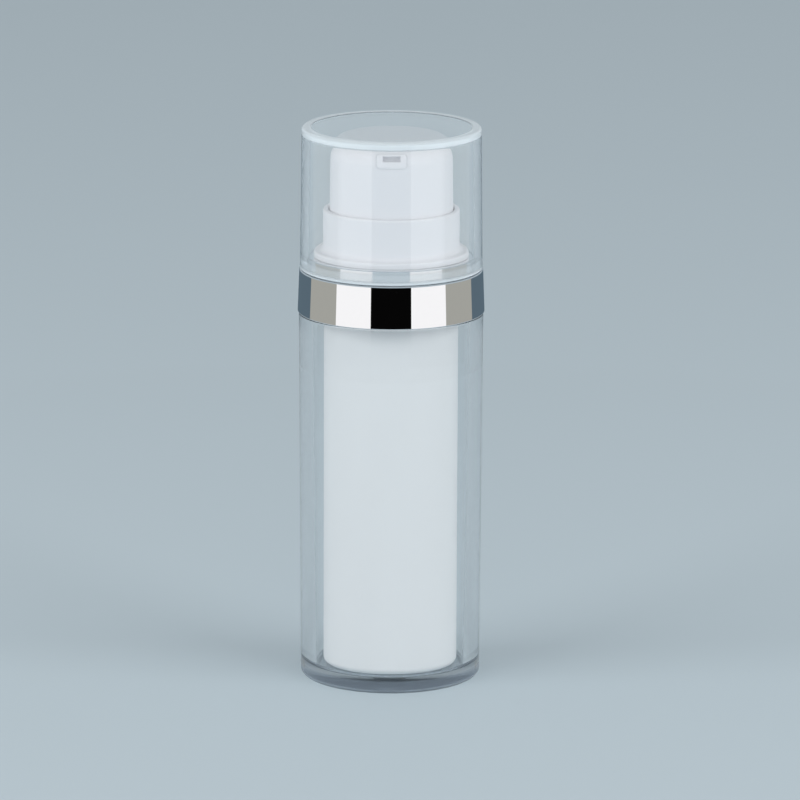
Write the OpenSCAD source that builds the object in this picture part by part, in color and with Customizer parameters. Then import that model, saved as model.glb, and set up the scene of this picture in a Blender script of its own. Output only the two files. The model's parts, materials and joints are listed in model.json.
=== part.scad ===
// Airless pump bottle, 30 ml: a clear thick-walled outer bottle round a white inner bottle,
// a metallised collar, a snap-fit piston pump and a clear overcap.
// Millimetres. The origin is the centre of the base, +Z runs up the axis, and the nozzle faces -Y.

/* [Outer bottle] */
// Height from the base to the shoulder that the collar stands on
outer_h = 80; // [74:1:95]
// Diameter at the shoulder
outer_d = 39.5; // [39:0.1:41]
// How much wider the shoulder is than the foot, as the mould's draft
outer_draft = 0.9; // [0:0.1:1.6]
// Wall thickness at the shoulder
outer_wall = 3; // [2.6:0.1:3.2]
// Gap round the inner bottle at the floor of the cavity
foot_gap = 1.6; // [1.2:0.1:2]
// Thickness of the clear base
base_t = 3; // [2:0.1:6]
// Radius of the rounded edge of the foot
foot_round = 1.2; // [0.5:0.1:2]
// Depth of the recess under the base
foot_recess = 0.4; // [0.2:0.1:0.8]
// Width of the ring that the bottle stands on
foot_ring_w = 2.2; // [1.5:0.1:3]
// Diameter of the moulding gate's dimple under the base
gate_d = 4.6; // [3:0.1:8]
// Depth of the gate's dimple
gate_depth = 0.5; // [0.2:0.1:0.8]
// Wall thickness of the neck inside the collar
outer_neck_wall = 1.45; // [1.2:0.05:1.6]

/* [Inner bottle] */
// Outer diameter of the inner bottle
inner_d = 28.8; // [27.5:0.1:29.2]
// Wall thickness of the inner bottle
inner_wall = 1.1; // [0.9:0.1:1.4]
// Thickness of its floor
inner_floor_t = 1.5; // [1:0.1:2.5]
// Radius of its rounded bottom edge
inner_round = 1.6; // [0.5:0.1:1.9]
// Diameter of the air hole in its floor
vent_d = 3; // [1.5:0.5:6]
// Thickness of the flange that hangs on the outer bottle's mouth
inner_flange_t = 1.2; // [0.8:0.1:1.6]
// Wall thickness of the neck that the closure snaps on
neck_wall = 1; // [0.8:0.1:1.2]
// How far the mouth lies below the top of the collar
mouth_drop = 0.8; // [0.5:0.1:1.2]

/* [Follower piston] */
// Height over both lips
follower_h = 10; // [8:0.5:14]
// How far the crown lies below the upper lip
follower_crown_drop = 4; // [3:0.5:5]
// Thickness of the crown and of the wall
follower_wall = 1; // [0.8:0.1:1.4]
// Height of each sealing lip
follower_lip_h = 1.6; // [1:0.1:2.4]

/* [Collar] */
// Height of the wide band
collar_h = 9.3; // [8:0.1:14]
// How far the band's foot stands out past the bottle
collar_proud = 0.25; // [0.1:0.05:0.5]
// How much narrower the band is at its top
collar_draft = 0.35; // [0:0.05:0.5]
// Wall thickness of the metallised ring
collar_wall = 0.9; // [0.7:0.05:1]
// Height of the spigot that the overcap slides on
spigot_h = 3.1; // [2.5:0.1:5]
// How far the ring's lip reaches in from the spigot's wall
collar_lip_w = 1.42; // [1.2:0.02:1.6]
// Width of the bevels on the band's edges
collar_bevel = 0.25; // [0.1:0.05:0.4]
// Thickness of the liner's top web
liner_web_t = 0.7; // [0.5:0.1:1]

/* [Closure] */
// Height of the visible ring above the collar
closure_h = 10.2; // [9:0.1:14]
// Wall thickness of the ring round the actuator
closure_ring_wall = 1.15; // [0.9:0.05:1.3]
// Wall thickness of the skirt that snaps on the neck
closure_skirt_wall = 1.1; // [0.9:0.05:1.2]
// Thickness of the flange that rests on the collar
closure_flange_t = 1.35; // [1:0.05:2]
// How far the flange reaches past the skirt
closure_flange_w = 1.05; // [0.6:0.05:1.2]
// Radius of the hollow between flange and ring
closure_fillet = 1.1; // [0.5:0.1:1.2]
// Thickness of the deck that clamps the pump
deck_t = 1.2; // [0.8:0.1:1.4]
// Radius of the ring's rounded top edge
closure_round = 0.5; // [0.2:0.05:0.55]

/* [Pump] */
// Travel of one stroke
stroke = 5; // [3:0.5:5.5]
// Bore of the pump chamber
chamber_d = 9; // [8.6:0.1:9.6]
// Wall thickness of the pump housing
housing_wall = 0.9; // [0.8:0.05:1.1]
// Height of the rim above the deck
housing_rim = 0.8; // [0.5:0.1:1.2]
// Thickness of the housing's flange
housing_flange_t = 1; // [0.8:0.1:1.4]
// Depth of the plug that seals in the bottle's bore
plug_h = 4; // [3:0.1:6]
// Wall thickness of the plug
plug_wall = 0.9; // [0.7:0.1:1.2]
// Thickness of the gasket
gasket_t = 0.8; // [0.5:0.1:1.2]
// Diameter of the inlet ball
ball_d = 4; // [3.8:0.1:4.2]
// Diameter of the inlet hole under the ball
inlet_d = 2.8; // [2.4:0.1:3]
// Radial room round the ball
ball_room = 0.6; // [0.4:0.1:0.8]
// How far the ball can lift
ball_lift = 1; // [0.8:0.1:1.2]
// Length of the inlet tube below the seat
inlet_h = 4; // [2:0.5:6]
// Diameter of the stem
stem_d = 4.8; // [4.6:0.1:5]
// Diameter of the channel in the stem
channel_d = 2.4; // [1.8:0.1:2.6]
// Diameter of the stem's two inlet ports
port_d = 1.2; // [0.8:0.1:1.3]
// Slip of the piston along the stem that opens the ports
slip = 0.8; // [0.5:0.1:0.8]
// Wire diameter of the return spring
wire_d = 0.8; // [0.6:0.05:0.9]
// Turns of the return spring
spring_turns = 5.5; // [4:0.5:6]

/* [Actuator] */
// Height of the actuator's top above the closure's ring
actuator_rise = 14.4; // [12:0.1:15.2]
// How much narrower the actuator is at its top
actuator_draft = 0.25; // [0:0.05:0.6]
// Wall thickness of the actuator
actuator_wall = 1.2; // [1:0.1:1.5]
// Thickness of its roof
actuator_roof_t = 1.6; // [1.2:0.1:1.8]
// Radius of its rounded top edge
actuator_round = 3.5; // [2:0.1:4]
// Width of the nozzle insert's face
insert_w = 6.4; // [5.5:0.1:7]
// Height of the nozzle insert's face
insert_h = 3; // [2.8:0.1:3.1]
// How far the centre of the insert lies below the actuator's top
insert_drop = 2.1; // [2:0.1:2.6]
// Width of the outlet slot
slot_w = 3.7; // [2.5:0.1:4.5]
// Height of the outlet slot
slot_h = 1.1; // [0.6:0.1:1.2]
// How far the slot's centre lies above the insert's
slot_rise = 0.5; // [0:0.05:0.5]
// Diameter of the duct from stem to insert
duct_d = 1.6; // [1.2:0.1:1.8]

/* [Overcap] */
// Height of the overcap
cap_h = 30.6; // [29:0.1:36]
// How far the cap's rim lies inside the top of the collar's band
cap_inset = 0.15; // [0:0.05:0.4]
// How much narrower the cap is at its top
cap_draft = 0.35; // [0:0.05:0.6]
// Wall thickness of the cap
cap_wall = 1.75; // [1.6:0.05:1.9]
// Wall thickness where the cap goes over the spigot
cap_rim_wall = 1.5; // [1.3:0.05:1.6]
// Thickness of the cap's roof
cap_roof_t = 1.55; // [1:0.05:2]
// Radius of the cap's rounded top edge
cap_round = 0.6; // [0.3:0.1:1]

/* [Hidden] */
$fn = 96;

// Clearances: a sliding seal, two fixed pieces, a guide, and faces that only come near
run_gap = 0.05;
fit_gap = 0.03;
guide_gap = 0.08;
loose_gap = 0.1;
seat_gap = 0.05;
ARC_STEPS = 6;
EPS = 0.01;

// Bottles
outer_r = outer_d / 2;
foot_r = outer_r - outer_draft / 2;
inner_r = inner_d / 2;
bore_r = inner_r - inner_wall;
cavity_top_r = outer_r - outer_wall;
cavity_foot_r = inner_r + foot_gap;
cavity_round = 1;
outer_neck_r = cavity_top_r + outer_neck_wall;
inner_foot_z = base_t;
inner_floor_z = inner_foot_z + inner_floor_t;

// Collar, measured up from the shoulder
collar_r = outer_r + collar_proud;
collar_top_r = collar_r - collar_draft;
collar_in_r = collar_r - collar_wall;
ledge_z = outer_h + collar_h;
spigot_z = ledge_z + spigot_h;
liner_top_z = ledge_z - collar_wall;
flange_top_z = liner_top_z - liner_web_t;
outer_mouth_z = flange_top_z - inner_flange_t;
inner_flange_r = outer_neck_r - 0.2;
snap_h = 0.2;
liner_snap_z = outer_h + (outer_mouth_z - outer_h) / 2;

// Overcap, which stands on the collar's ledge with the spigot in its socket
cap_z = ledge_z + loose_gap;
cap_top_z = cap_z + cap_h;
cap_r = collar_top_r - cap_inset;
cap_top_r = cap_r - cap_draft;
cap_socket_r = cap_r - cap_rim_wall;
cap_socket_z = spigot_z + 0.3;
cap_roof_z = cap_top_z - cap_roof_t;
spigot_r = cap_socket_r - guide_gap;

// Closure, whose skirt passes through the collar's lip and snaps on the inner bottle's neck
lip_r = spigot_r - collar_wall - collar_lip_w;
skirt_r = lip_r - loose_gap;
skirt_in_r = skirt_r - closure_skirt_wall;
neck_r = skirt_in_r - loose_gap;
neck_bore_r = neck_r - neck_wall;
mouth_z = spigot_z - mouth_drop;
neck_snap_z = flange_top_z + (mouth_z - flange_top_z) / 2;
closure_flange_r = skirt_r + closure_flange_w;
closure_flange_z = spigot_z + closure_flange_t;
deck_z = mouth_z + gasket_t + housing_flange_t;
deck_top_z = deck_z + deck_t;
ring_z = spigot_z + closure_h;
ring_r = skirt_in_r + 0.2;
ring_bore_r = ring_r - closure_ring_wall;
skirt_foot_z = flange_top_z + 0.2;

// Stem, its tip, the piston and the lock ring that stops them, measured down from the rim
stem_r = stem_d / 2;
channel_r = channel_d / 2;
shoulder_w = 0.8;
shoulder_r = stem_r + shoulder_w;
rim_z = deck_top_z + housing_rim;
lock_flange_t = 1;
lock_boss_h = 0.8;
lock_ceiling_z = rim_z - 0.9;
shoulder_h = 1.3;
shoulder_top_z = lock_ceiling_z - loose_gap;
shoulder_z = shoulder_top_z - shoulder_h;
piston_room = 2.1;
piston_h = port_d + piston_room;
piston_top_z = shoulder_z - loose_gap - slip;
piston_z = piston_top_z - piston_h;
tip_top_z = piston_z - seat_gap;
tip_floor_t = 0.6;
tip_socket_h = 0.9;
stem_z = tip_top_z - tip_socket_h;
tip_z = stem_z - tip_floor_t;
tip_r = stem_r + shoulder_w;
port_z = tip_top_z + port_d / 2 + 0.1;
piston_sleeve_r = tip_r + 0.3;
lock_z = shoulder_z;
lock_top_z = rim_z + lock_flange_t;

// Pump housing, with its floor one stroke below the stem's tip
cage_t = 1;
cage_h = 2;
cage_leg = 0.6;
chamber_r = chamber_d / 2;
chamber_out_r = chamber_r + housing_wall;
tip_room = 0.35;
chamber_z = tip_z - stroke - tip_room - cage_h;
housing_flange_r = skirt_in_r - 0.2;
housing_flange_z = mouth_z + gasket_t;
plug_r = neck_bore_r - run_gap;
ball_r = ball_d / 2;
inlet_r = inlet_d / 2;
well_r = ball_r + ball_room;
ball_seat_rise = sqrt(ball_r * ball_r - inlet_r * inlet_r);
cage_bar_z = chamber_z + cage_leg;
ball_z = cage_bar_z - loose_gap - ball_lift - ball_r;
seat_z = ball_z - ball_seat_rise - seat_gap;
inlet_z = seat_z - inlet_h;

// Actuator, measured down from its top
actuator_top_z = ring_z + actuator_rise;
deck_room = 0.4;
actuator_z = deck_top_z + stroke + deck_room;
actuator_r = ring_bore_r - 0.2;
actuator_top_r = actuator_r - actuator_draft;
roof_z = actuator_top_z - actuator_roof_t;
boss_wall = 1.2;
boss_rise = 3;
boss_r = stem_r + boss_wall;
boss_z = actuator_z + boss_rise;
spring_seat_rise = 7;
spring_seat_w = 1.9;
spring_seat_z = actuator_z + spring_seat_rise;
spring_seat_r = boss_r + spring_seat_w;
insert_z = actuator_top_z - insert_drop;
insert_round = 0.7;
insert_depth = 3;
insert_proud = 0.15;
slot_z = insert_z + slot_rise;
duct_z = insert_z - (insert_h - duct_d) / 2 + 0.4;
stem_top_z = duct_z - duct_d / 2 - 0.4;

// Return spring between the lock ring and the actuator
coil_gap = 0.45;
coil_r = boss_r + wire_d / 2 + coil_gap;
coil_z = lock_top_z + wire_d / 2;
coil_top_z = spring_seat_z - wire_d / 2;
WIRE_SIDES = 6;
TURN_STEPS = 16;

// Points on an arc in a profile, from angle a to angle b
function arc(x, z, r, a, b, steps = ARC_STEPS) =
    [for (i = [0:steps]) let (t = a + (b - a) * i / steps) [x + r * cos(t), z + r * sin(t)]];

// A small snap bead in a profile at radius r and height z, standing out by h
function bead(r, z, h, half = 0.5) = [[r, z - half], [r + h, z - 0.1], [r + h, z + 0.1], [r, z + half]];

// Radius of the drafted wall between two heights
function draft_r(r0, z0, r1, z1, z) = r0 + (r1 - r0) * (z - z0) / (z1 - z0);

function reverse(points) = [for (i = [len(points) - 1:-1:0]) points[i]];

module turned(points) {
    rotate_extrude() polygon(points);
}

// The clear outer bottle with its thick base, cavity and hidden neck
module outer_bottle() {
    recess_r = foot_r - foot_round - foot_ring_w;
    color([0.62, 0.70, 0.74, 0.35])
    difference() {
        turned(concat(
            [[0, foot_recess], [recess_r - foot_recess, foot_recess], [recess_r, 0]],
            arc(foot_r - foot_round, foot_round, foot_round, -90, 0),
            [[outer_r, outer_h], [outer_neck_r, outer_h]],
            bead(outer_neck_r, liner_snap_z, snap_h),
            [[outer_neck_r, outer_mouth_z], [cavity_top_r, outer_mouth_z], [cavity_top_r, outer_h]],
            arc(cavity_foot_r - cavity_round, base_t + cavity_round, cavity_round, 0, -90),
            [[0, base_t]]));
        translate([0, 0, foot_recess - EPS]) cylinder(d = gate_d, h = gate_depth + EPS);
    }
}

// The white inner bottle that holds the product and hangs in the outer one
module inner_bottle() {
    step_z = bore_r < neck_bore_r ? flange_top_z : outer_mouth_z;
    color([0.87, 0.89, 0.90])
    difference() {
        turned(concat(
            [[0, inner_foot_z]],
            arc(inner_r - inner_round, inner_foot_z + inner_round, inner_round, -90, 0),
            [[inner_r, outer_mouth_z], [inner_flange_r, outer_mouth_z],
             [inner_flange_r, flange_top_z], [neck_r, flange_top_z]],
            bead(neck_r, neck_snap_z, snap_h),
            [[neck_r, mouth_z], [neck_bore_r, mouth_z]],
            abs(bore_r - neck_bore_r) < EPS ? [] : [[neck_bore_r, step_z], [bore_r, step_z]],
            [[bore_r, inner_floor_z], [0, inner_floor_z]]));
        translate([0, 0, inner_foot_z - EPS]) cylinder(d = vent_d, h = inner_floor_t + 2 * EPS);
    }
}

// The follower that rises behind the product, with a sealing lip at each end
module follower_piston() {
    low_z = inner_floor_z + seat_gap;
    top_z = low_z + follower_h;
    crown_z = top_z - follower_crown_drop;
    seal_r = bore_r - run_gap;
    wall_r = seal_r - 0.5;
    color([0.93, 0.94, 0.94])
    turned([
        [0, crown_z - follower_wall], [wall_r - follower_wall, crown_z - follower_wall],
        [wall_r - follower_wall, low_z], [seal_r - 0.4, low_z], [seal_r, low_z + 0.4],
        [seal_r, low_z + follower_lip_h], [wall_r, low_z + follower_lip_h + 0.5],
        [wall_r, top_z - follower_lip_h - 0.5], [seal_r, top_z - follower_lip_h],
        [seal_r, top_z - 0.4], [seal_r - 0.4, top_z], [wall_r - follower_wall, top_z - 0.6],
        [wall_r - follower_wall - 0.8, crown_z], [0, crown_z]]);
}

// The metallised ring: a wide band, a ledge for the cap and a spigot inside it
module collar_ring() {
    spigot_in_r = spigot_r - collar_wall;
    color([0.80, 0.81, 0.83])
    turned([
        [collar_in_r, outer_h], [collar_r - collar_bevel, outer_h],
        [collar_r, outer_h + collar_bevel], [collar_top_r, ledge_z - collar_bevel],
        [collar_top_r - collar_bevel, ledge_z], [spigot_r, ledge_z],
        [spigot_r, spigot_z - collar_bevel], [spigot_r - collar_bevel, spigot_z],
        [lip_r, spigot_z], [lip_r, spigot_z - collar_wall],
        [spigot_in_r, spigot_z - collar_wall], [spigot_in_r, liner_top_z],
        [collar_in_r, liner_top_z]]);
}

// The liner that grips the outer bottle's neck and holds the inner flange down
module collar_liner() {
    grip_r = outer_neck_r + loose_gap;
    web_r = skirt_r + 0.5;
    color([0.90, 0.91, 0.92])
    turned(concat(
        [[collar_in_r - fit_gap, outer_h], [collar_in_r - fit_gap, liner_top_z],
         [web_r, liner_top_z], [web_r, flange_top_z], [grip_r, flange_top_z]],
        reverse(bead(grip_r, liner_snap_z, snap_h)),
        [[grip_r, outer_h]]));
}

// The closure: skirt on the neck, flange on the collar, deck over the pump, ring round the actuator
module closure() {
    deck_hole_r = chamber_out_r + 0.15;
    edge = 0.5;
    fillet = min(closure_fillet, closure_flange_r - edge - ring_r);
    color([0.93, 0.94, 0.96])
    turned(concat(
        [[skirt_in_r, skirt_foot_z], [skirt_r, skirt_foot_z], [skirt_r, spigot_z],
         [closure_flange_r - 0.2, spigot_z], [closure_flange_r, spigot_z + 0.2]],
        arc(closure_flange_r - edge, closure_flange_z - edge, edge, 0, 90),
        reverse(arc(ring_r + fillet, closure_flange_z + fillet, fillet, 180, 270)),
        arc(ring_r - closure_round, ring_z - closure_round, closure_round, 0, 90),
        [[ring_bore_r + 0.15, ring_z], [ring_bore_r, ring_z - 0.15], [ring_bore_r, deck_top_z],
         [deck_hole_r, deck_top_z], [deck_hole_r, deck_z], [skirt_in_r, deck_z]],
        reverse(bead(skirt_in_r, neck_snap_z, snap_h))));
}

module neck_gasket() {
    color([0.55, 0.57, 0.60])
    turned([[neck_bore_r + 0.1, mouth_z], [neck_r, mouth_z],
            [neck_r, housing_flange_z], [neck_bore_r + 0.1, housing_flange_z]]);
}

// The pump housing: chamber, flange, sealing plug, ball well and inlet tube
module pump_housing() {
    well_out_r = well_r + housing_wall;
    tube_r = inlet_r + housing_wall;
    color([0.88, 0.90, 0.92])
    turned([
        [inlet_r, inlet_z], [tube_r - 0.3, inlet_z], [tube_r, inlet_z + 0.3],
        [tube_r, seat_z - 0.8], [well_out_r, seat_z + 0.4], [well_out_r, chamber_z - 1.6],
        [chamber_out_r, chamber_z - 0.6], [chamber_out_r, housing_flange_z],
        [plug_r - plug_wall, housing_flange_z], [plug_r - plug_wall, housing_flange_z - plug_h],
        [plug_r - 0.4, housing_flange_z - plug_h], [plug_r, housing_flange_z - plug_h + 0.6],
        [plug_r, housing_flange_z],
        [housing_flange_r, housing_flange_z], [housing_flange_r, deck_z], [chamber_out_r, deck_z],
        [chamber_out_r, rim_z], [chamber_r, rim_z], [chamber_r, chamber_z],
        [well_r, chamber_z], [well_r, seat_z + well_r - inlet_r], [inlet_r, seat_z]]);
}

// The ring that closes the chamber, guides the stem and carries the spring
module lock_ring() {
    guide_r = stem_r + guide_gap;
    pocket_r = shoulder_r + 0.2;
    boss_out_r = boss_r - 0.1;
    color([0.84, 0.87, 0.90])
    turned([
        [pocket_r, lock_z], [chamber_r - fit_gap, lock_z], [chamber_r - fit_gap, rim_z],
        [chamber_out_r, rim_z], [chamber_out_r, lock_top_z], [boss_out_r, lock_top_z],
        [boss_out_r, lock_top_z + lock_boss_h], [guide_r, lock_top_z + lock_boss_h],
        [guide_r, lock_ceiling_z], [pocket_r, lock_ceiling_z]]);
}

// The hollow stem with its shoulder and two inlet ports
module stem() {
    color([0.90, 0.92, 0.94])
    difference() {
        turned([
            [channel_r, stem_z], [stem_r, stem_z], [stem_r, shoulder_z], [shoulder_r, shoulder_z],
            [shoulder_r, shoulder_top_z], [stem_r, shoulder_top_z], [stem_r, stem_top_z - 0.4],
            [stem_r - 0.4, stem_top_z], [channel_r, stem_top_z]]);
        translate([-stem_d, 0, port_z]) rotate([0, 90, 0]) cylinder(d = port_d, h = 2 * stem_d, $fn = 32);
    }
}

// The tip that plugs the stem and seats against the piston
module stem_tip() {
    socket_r = stem_r + fit_gap;
    color([0.82, 0.86, 0.90])
    turned([
        [0, tip_z], [tip_r - 0.3, tip_z], [tip_r, tip_z + 0.3], [tip_r, tip_top_z - 0.3],
        [tip_r - 0.2, tip_top_z], [socket_r, tip_top_z], [socket_r, stem_z], [0, stem_z]]);
}

// The piston: a sleeve that slides on the stem inside two lips that wipe the chamber
module pump_piston() {
    sleeve_in_r = stem_r + run_gap;
    port_room_r = stem_r + 0.45;
    port_room_h = port_d + 0.4;
    seal_r = chamber_r - run_gap;
    wall_r = seal_r - 0.5;
    web_low_z = piston_z + 1.2;
    web_top_z = web_low_z + 0.9;
    color([0.95, 0.96, 0.97])
    turned([
        [port_room_r, piston_z], [piston_sleeve_r, piston_z], [piston_sleeve_r, web_low_z],
        [wall_r, web_low_z], [seal_r - 0.2, piston_z + 0.1], [seal_r, piston_z + 0.3],
        [seal_r, piston_z + 0.7], [seal_r - 0.1, web_low_z + 0.45], [seal_r, piston_top_z - 0.7],
        [seal_r, piston_top_z - 0.3], [seal_r - 0.2, piston_top_z - 0.1], [wall_r, web_top_z],
        [piston_sleeve_r, web_top_z], [piston_sleeve_r, piston_top_z], [sleeve_in_r, piston_top_z],
        [sleeve_in_r, piston_z + port_room_h], [port_room_r, piston_z + port_room_h - 0.3]]);
}

// The centre line of the spring: a flat turn at each end and a steady climb between
function coil_climb(turn) =
    let (flat = 0.75, pitch = wire_d + coil_gap, free = coil_top_z - coil_z - 2 * flat * pitch)
    turn < flat ? coil_z + turn * pitch
    : turn > spring_turns - flat ? coil_top_z - (spring_turns - turn) * pitch
    : coil_z + flat * pitch + free * (turn - flat) / (spring_turns - 2 * flat);
function coil_point(turn) =
    [coil_r * cos(360 * turn), coil_r * sin(360 * turn), coil_climb(turn)];
function wire_ring(turn) =
    [for (k = [0:WIRE_SIDES - 1]) let (a = 360 * k / WIRE_SIDES, out = coil_r + wire_d / 2 * cos(a))
        [out * cos(360 * turn), out * sin(360 * turn), coil_climb(turn) + wire_d / 2 * sin(a)]];

// The wound return spring, one unbroken wire
module return_spring() {
    steps = round(spring_turns * TURN_STEPS);
    rings = [for (i = [0:steps]) wire_ring(i * spring_turns / steps)];
    points = [for (ring = rings) each ring];
    last = steps * WIRE_SIDES;
    sides = [for (i = [0:steps - 1], k = [0:WIRE_SIDES - 1])
        let (a = i * WIRE_SIDES + k, b = i * WIRE_SIDES + (k + 1) % WIRE_SIDES)
        each [[a, b, b + WIRE_SIDES], [a, b + WIRE_SIDES, a + WIRE_SIDES]]];
    caps = [for (k = [1:WIRE_SIDES - 2]) each [[0, k + 1, k], [last, last + k, last + k + 1]]];
    gaps = [for (i = [0:steps - TURN_STEPS])
        norm(coil_point(i * spring_turns / steps + 1) - coil_point(i * spring_turns / steps)) - wire_d];
    echo(str("least gap between the spring's turns: ", min(gaps), " mm"));
    color([0.75, 0.76, 0.78]) polyhedron(points = points, faces = concat(sides, caps));
}

module inlet_ball() {
    color([0.72, 0.74, 0.76]) translate([0, 0, ball_z]) sphere(r = ball_r);
}

// The ring with two crossed bars that keeps the ball in its well
module ball_cage() {
    ring_in_r = tip_r + 0.1;
    ring_out_r = chamber_r - fit_gap;
    color([0.86, 0.88, 0.90])
    difference() {
        translate([0, 0, chamber_z]) cylinder(r = ring_out_r, h = cage_h);
        translate([0, 0, cage_bar_z + cage_t]) cylinder(r = ring_in_r, h = cage_h);
        translate([0, 0, chamber_z - EPS]) cylinder(r = ring_in_r, h = cage_bar_z - chamber_z + EPS);
        for (i = [0:3]) rotate([0, 0, 90 * i])
            intersection() {
                translate([0, 0, chamber_z - EPS]) cylinder(r = ring_in_r, h = cage_h);
                translate([0.5, 0.5, chamber_z - EPS]) cube([chamber_d, chamber_d, cage_h]);
            }
    }
}

// The outline of the actuator's outside, grown by extra
module actuator_form(extra = 0) {
    turned(concat(
        [[0, actuator_z], [actuator_r + extra, actuator_z]],
        arc(actuator_top_r - actuator_round, actuator_top_z - actuator_round, actuator_round + extra, 0, 90,
            10),
        [[0, actuator_top_z + extra]]));
}

// A rounded bar along -Y with the insert's face as its section, inset by gap
module insert_bar(gap, depth) {
    r = insert_round - gap;
    w = insert_w / 2 - gap - r;
    h = insert_h / 2 - gap - r;
    translate([0, -actuator_r - 1, insert_z]) rotate([-90, 0, 0])
        linear_extrude(height = depth + 1) union() {
            square([2 * w + 2 * r, 2 * h], center = true);
            square([2 * w, 2 * h + 2 * r], center = true);
            for (x = [-w, w], y = [-h, h]) translate([x, y]) circle(r = r, $fn = 32);
        }
}

// The push button: a hollow shell with the stem's socket, the spring seat, four ribs and the duct
module actuator() {
    hollow_r = actuator_r - actuator_wall;
    hollow_top_r = actuator_top_r - actuator_wall;
    hollow_round = actuator_round - actuator_wall;
    rib_t = 0.9;
    rib_rise = 2;
    color([0.92, 0.93, 0.96])
    difference() {
        union() {
            difference() {
                actuator_form();
                turned(concat(
                    [[0, actuator_z - EPS], [hollow_r, actuator_z - EPS]],
                    arc(hollow_top_r - hollow_round, roof_z - hollow_round, hollow_round, 0, 90),
                    [[0, roof_z]]));
            }
            translate([0, 0, boss_z]) cylinder(r = boss_r, h = roof_z - boss_z + EPS);
            translate([0, 0, spring_seat_z]) cylinder(r = spring_seat_r, h = roof_z - spring_seat_z + EPS);
            intersection() {
                union() {
                    for (i = [0:1]) rotate([0, 0, 45 + 90 * i])
                        translate([-actuator_r, -rib_t / 2, spring_seat_z + rib_rise])
                            cube([2 * actuator_r, rib_t, roof_z - spring_seat_z]);
                    translate([-insert_w / 2 - 0.8, -actuator_r, insert_z - insert_h / 2 - 0.8])
                        cube([insert_w + 1.6, actuator_r, insert_h]);
                }
                actuator_form();
            }
        }
        translate([0, 0, boss_z - EPS]) cylinder(r = stem_r + fit_gap, h = stem_top_z - boss_z + EPS);
        translate([0, 0, stem_top_z - EPS]) cylinder(r = channel_r, h = duct_z - stem_top_z);
        translate([0, 0, duct_z]) rotate([90, 0, 0]) cylinder(d = duct_d, h = actuator_r);
        insert_bar(0, insert_depth);
    }
}

// The nozzle insert, flush with the button's curve and cut by the outlet slot
module nozzle_insert() {
    color([0.90, 0.92, 0.95])
    difference() {
        intersection() {
            insert_bar(fit_gap, insert_depth - fit_gap);
            actuator_form(insert_proud);
        }
        translate([-slot_w / 2, -actuator_r - 1, slot_z - slot_h / 2])
            cube([slot_w, insert_depth - 0.8 + 1, slot_h]);
        translate([0, 0, duct_z]) rotate([90, 0, 0]) cylinder(d = duct_d, h = actuator_r - 1.6);
    }
}

// The clear overcap with a socket for the collar's spigot
module overcap() {
    rim_round = 0.4;
    inner_top_r = draft_r(cap_r, cap_z, cap_top_r, cap_top_z, cap_roof_z) - cap_wall;
    inner_low_r = draft_r(cap_r, cap_z, cap_top_r, cap_top_z, cap_socket_z) - cap_wall;
    color([0.70, 0.78, 0.82, 0.35])
    turned(concat(
        [[cap_socket_r + 0.2, cap_z]],
        arc(cap_r - rim_round, cap_z + rim_round, rim_round, -90, 0),
        arc(cap_top_r - cap_round, cap_top_z - cap_round, cap_round, 0, 90),
        [[0, cap_top_z], [0, cap_roof_z]],
        arc(inner_top_r - 0.5, cap_roof_z - 0.5, 0.5, 90, 0),
        [[inner_low_r, cap_socket_z], [cap_socket_r, cap_socket_z], [cap_socket_r, cap_z + 0.2]]));
}

outer_bottle();
inner_bottle();
follower_piston();
collar_ring();
collar_liner();
closure();
neck_gasket();
pump_housing();
lock_ring();
stem();
stem_tip();
pump_piston();
return_spring();
inlet_ball();
ball_cage();
actuator();
nozzle_insert();
overcap();
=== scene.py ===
"""Finishes, moulded details and studio of a clear airless pump bottle, laid out as an add-on."""
import json
from math import pi, radians, sqrt

import bmesh
import bpy
from bpy.props import FloatProperty, FloatVectorProperty, PointerProperty
from mathutils import Euler, Matrix, Vector


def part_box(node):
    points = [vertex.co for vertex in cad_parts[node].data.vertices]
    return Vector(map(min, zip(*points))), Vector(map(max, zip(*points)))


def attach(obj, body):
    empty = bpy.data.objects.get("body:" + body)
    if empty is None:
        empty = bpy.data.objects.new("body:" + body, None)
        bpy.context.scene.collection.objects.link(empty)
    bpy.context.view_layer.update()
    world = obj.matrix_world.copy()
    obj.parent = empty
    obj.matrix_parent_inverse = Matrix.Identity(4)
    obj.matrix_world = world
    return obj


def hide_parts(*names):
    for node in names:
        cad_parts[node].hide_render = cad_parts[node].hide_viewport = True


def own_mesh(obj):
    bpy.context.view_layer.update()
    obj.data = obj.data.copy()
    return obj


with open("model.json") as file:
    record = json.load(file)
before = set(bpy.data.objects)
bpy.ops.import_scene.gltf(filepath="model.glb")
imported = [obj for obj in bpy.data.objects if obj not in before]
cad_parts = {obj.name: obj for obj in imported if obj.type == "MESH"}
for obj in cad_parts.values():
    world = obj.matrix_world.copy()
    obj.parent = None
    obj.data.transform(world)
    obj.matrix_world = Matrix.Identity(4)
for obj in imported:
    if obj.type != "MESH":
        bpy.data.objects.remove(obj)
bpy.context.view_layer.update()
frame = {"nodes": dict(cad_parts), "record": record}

bl_info = {
    "name": "Airless Pump Bottle",
    "version": (1, 0, 0),
    "blender": (4, 5, 0),
    "location": "3D View > Sidebar > Bottle",
    "description": "Models and finishes a clear double-wall airless pump bottle",
    "category": "Add Mesh",
}

MM = 0.001
COLLAR_LOW, COLLAR_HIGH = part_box("collar_ring")
CAP_LOW, CAP_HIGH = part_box("overcap")
SHELL_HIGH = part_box("outer_bottle")[1]
INNER_LOW, INNER_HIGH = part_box("inner_bottle")
CLOSURE_LOW, CLOSURE_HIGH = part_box("closure")
BUTTON_LOW, BUTTON_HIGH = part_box("actuator")
INSERT_LOW, INSERT_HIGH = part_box("nozzle_insert")
SPRING_LOW, SPRING_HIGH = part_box("return_spring")

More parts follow.
